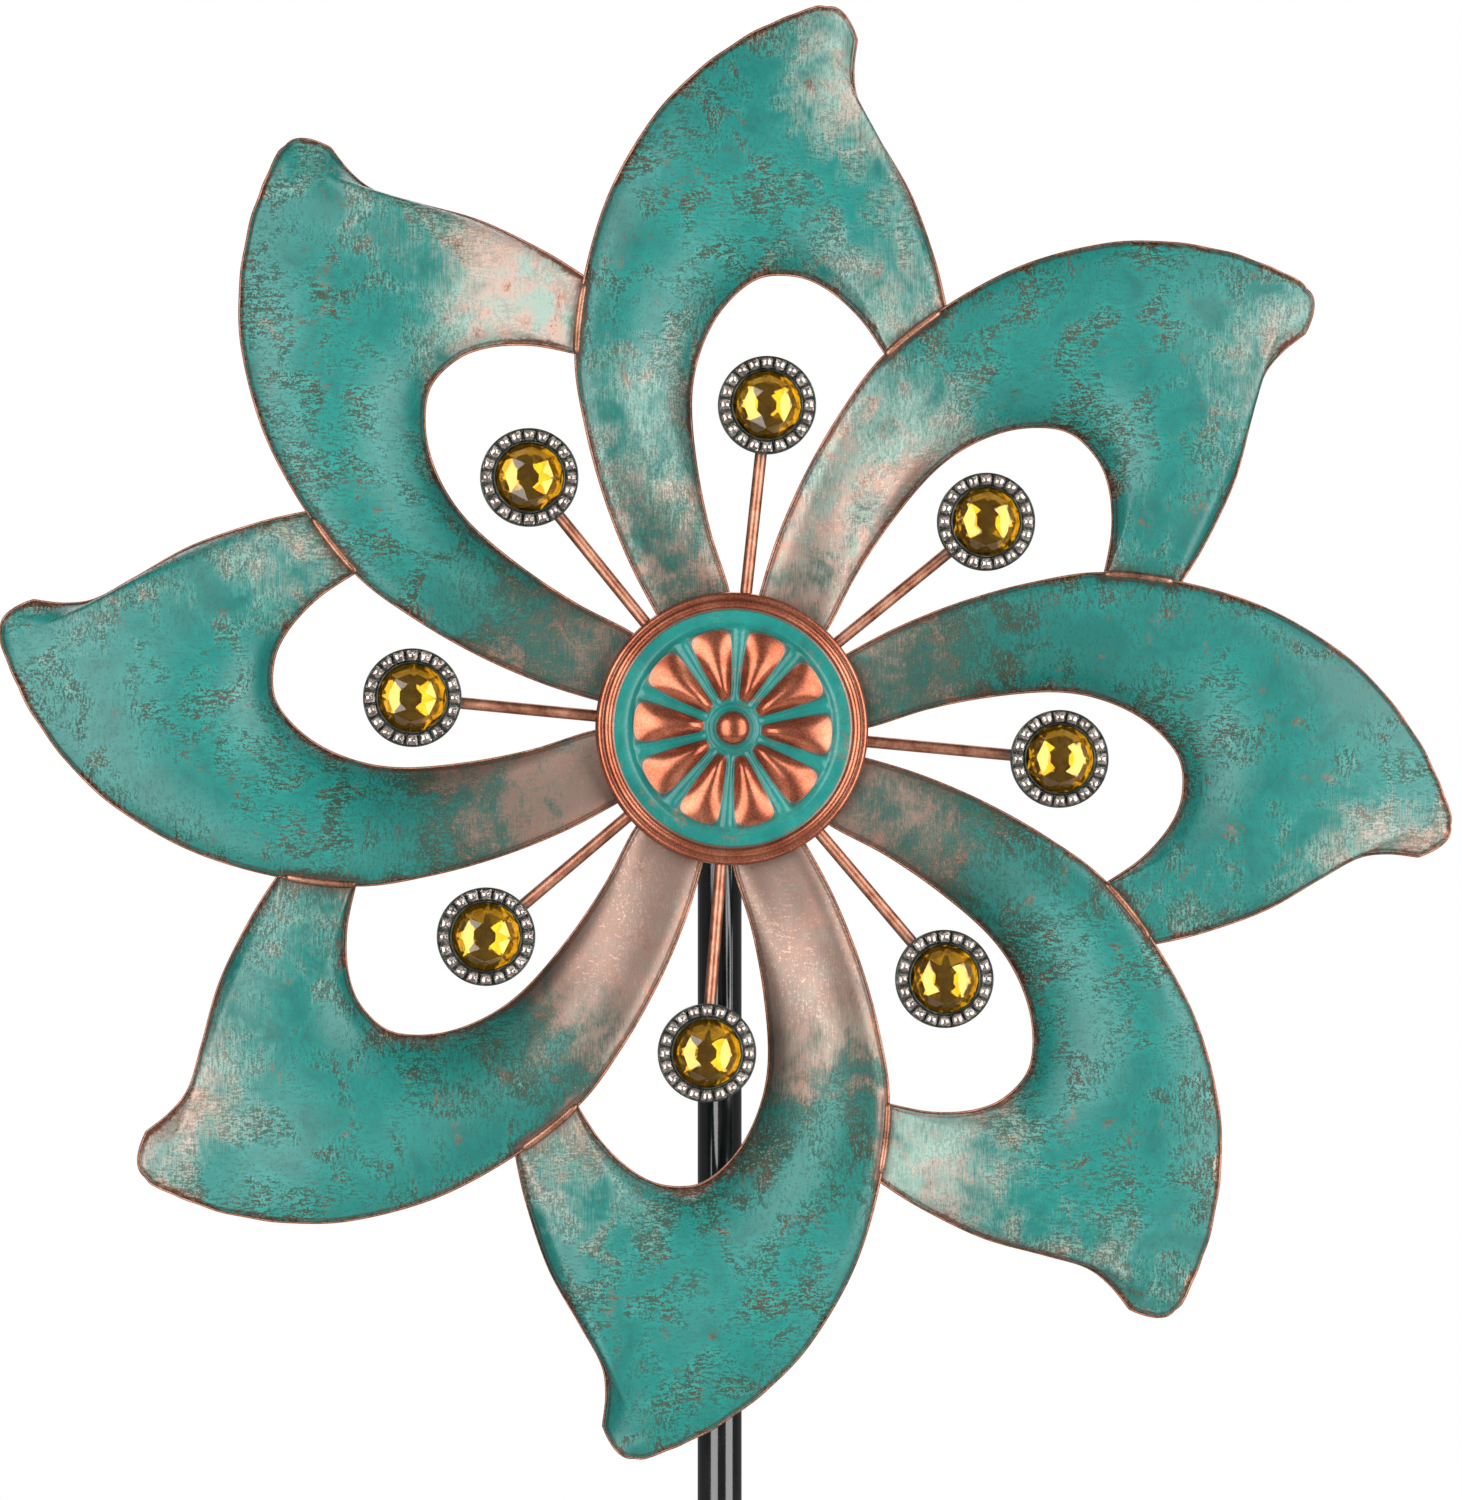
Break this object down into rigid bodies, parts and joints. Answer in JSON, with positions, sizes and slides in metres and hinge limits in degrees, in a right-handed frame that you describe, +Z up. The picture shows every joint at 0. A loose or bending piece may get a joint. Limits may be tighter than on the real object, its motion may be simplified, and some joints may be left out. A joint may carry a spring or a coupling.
{
  "type": "garden wind spinner",
  "caption": "Garden wind spinner on a stake: a wheel of hooked petals with jewelled rods turns on ball bearings, on a swivelling head at the top of a sectional pole.",
  "frame": {"origin": "on the pole's axis at ground level, at the underside of the foot plate", "axes": "+Z up along the pole; the wheel's front faces -Y, with its axle along Y"},
  "size_m": [0.602, 0.1592, 1.901],
  "materials": {
    "verdigris_enamel": "teal patina enamel dry-brushed over copper, satin",
    "copper_enamel": "satin copper enamel",
    "copper_rod": "satin copper enamel with a green tinge at the outer end",
    "black_enamel": "gloss black powder coat",
    "plated_steel": "zinc plated",
    "bearing_steel": "ground and polished",
    "cage_brass": "satin",
    "nylon": "matt white nylon",
    "dark_setting": "antique gunmetal",
    "amber_gem": "faceted and polished amber acrylic, foiled behind",
    "clear_stone": "faceted clear stones, foiled behind"
  },
  "bodies": {
    "stake": {"ground_spike": "black_enamel", "ground_prongs": "black_enamel", "foot_plate": "black_enamel", "pole_socket": "black_enamel", "socket_bolt": "plated_steel", "socket_nut": "plated_steel", "lower_pole": "black_enamel", "middle_pole": "black_enamel", "upper_pole": "black_enamel", "lower_joiner": "plated_steel", "upper_joiner": "plated_steel", "swivel_pin": "plated_steel", "thrust_washer": "nylon"},
    "head": {"swivel_bushes": "nylon", "head_tube": "black_enamel", "head_cap": "black_enamel", "axle": "plated_steel", "axle_boss": "black_enamel", "axle_spacer": "plated_steel", "bearing_spacer": "plated_steel", "bearing_inner_races": "bearing_steel", "axle_washer": "plated_steel", "lock_nut": "plated_steel"},
    "ball_cages": {"bearing_balls": "bearing_steel", "bearing_cages": "cage_brass"},
    "wheel": {"hub_plate": "copper_enamel", "hub_sleeve": "copper_enamel", "hub_rim_wire": "copper_enamel", "hub_face": "verdigris_enamel", "bearing_outer_races": "bearing_steel", "petal_1": "verdigris_enamel", "petal_2": "verdigris_enamel", "petal_3": "verdigris_enamel", "petal_4": "verdigris_enamel", "petal_5": "verdigris_enamel", "petal_6": "verdigris_enamel", "petal_7": "verdigris_enamel", "petal_8": "verdigris_enamel", "jewel_rod_1": "copper_rod", "jewel_rod_2": "copper_rod", "jewel_rod_3": "copper_rod", "jewel_rod_4": "copper_rod", "jewel_rod_5": "copper_rod", "jewel_rod_6": "copper_rod", "jewel_rod_7": "copper_rod", "jewel_rod_8": "copper_rod", "jewel_setting_1": "dark_setting", "jewel_setting_2": "dark_setting", "jewel_setting_3": "dark_setting", "jewel_setting_4": "dark_setting", "jewel_setting_5": "dark_setting", "jewel_setting_6": "dark_setting", "jewel_setting_7": "dark_setting", "jewel_setting_8": "dark_setting", "amber_gems": "amber_gem", "halo_stones": "clear_stone"}
  },
  "joints": [
    {"name": "head_swivel", "type": "hinge", "parent": "stake", "child": "head", "pos_m": [0, 0, 1.42], "axis": [0, 0, 1], "continuous": true},
    {"name": "wheel_spin", "type": "hinge", "parent": "head", "child": "wheel", "pos_m": [0, -0.085, 1.42], "axis": [0, -1, 0], "continuous": true},
    {"name": "cage_spin", "type": "hinge", "parent": "head", "child": "ball_cages", "pos_m": [0, -0.1, 1.42], "axis": [0, -1, 0], "continuous": true}
  ],
  "couplings": [
    {"joint": "cage_spin", "follows": "wheel_spin", "ratio": 0.6315}
  ]
}
